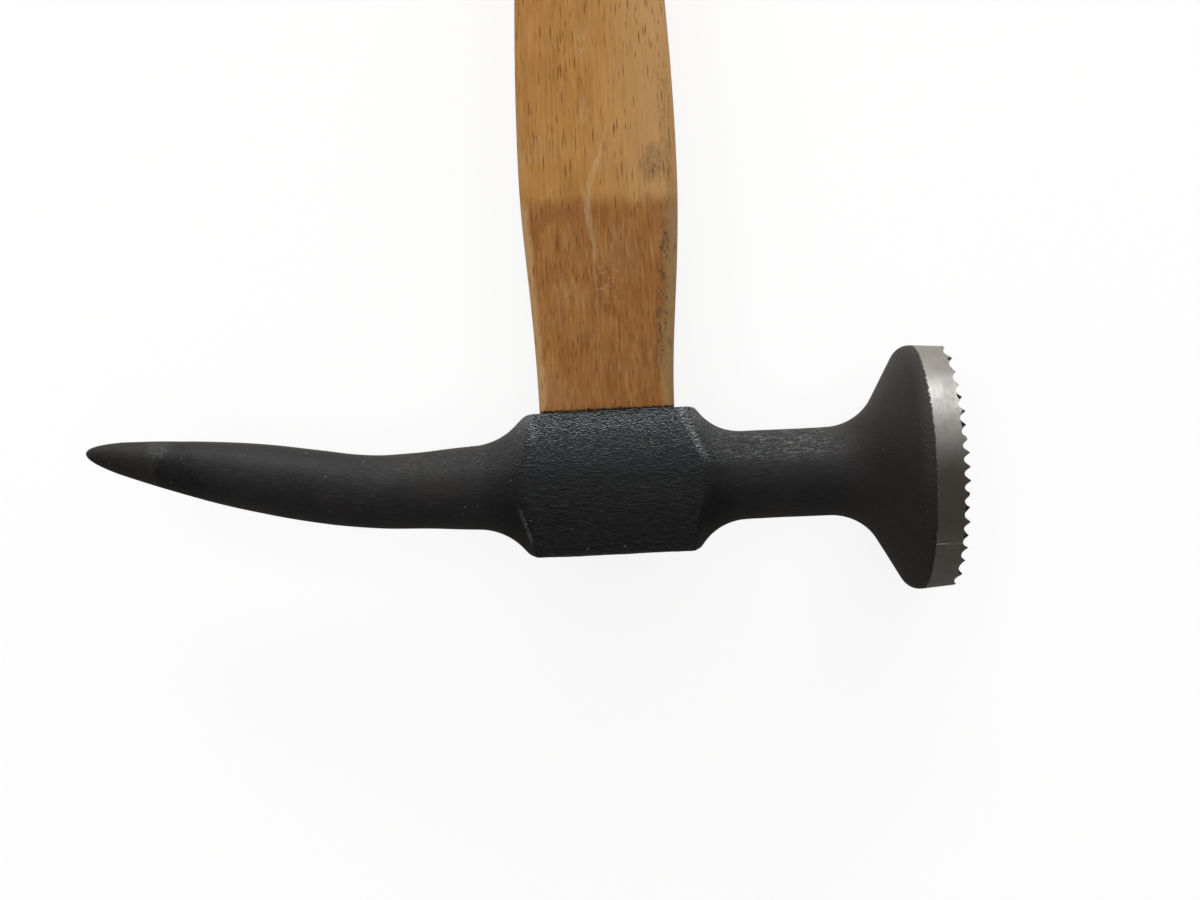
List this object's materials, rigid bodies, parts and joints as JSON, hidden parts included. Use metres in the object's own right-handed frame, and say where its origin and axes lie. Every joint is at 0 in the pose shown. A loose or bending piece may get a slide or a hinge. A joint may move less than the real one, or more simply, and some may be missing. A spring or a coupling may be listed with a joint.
{
  "type": "body hammer",
  "caption": "Panel beating hammer with a round serrated face, a long pick curved towards the handle and a shaped wooden handle.",
  "frame": {"origin": "centre of the crown face: the flat end of the eye block where the handle's end and the wedges show", "axes": "+X along the head towards the striking face, +Y along the handle from the crown to the butt, +Z out of the cheek; the hammer lies on its side, with the plane z = 0 through the middle of head and handle"},
  "size_m": [0.1418, 0.3285, 0.04],
  "materials": {
    "head": "charcoal black paint over a forged surface, with the face and its rim ground bright",
    "handle": "beech, satin lacquer",
    "wood_wedge": "bare hardwood, end grain showing",
    "steel_wedges": "plain stamped steel"
  },
  "bodies": {
    "root": {"head": "head", "handle": "handle", "wood_wedge": "wood_wedge", "face_side_wedge": "steel_wedges", "pick_side_wedge": "steel_wedges"}
  },
  "joints": []
}
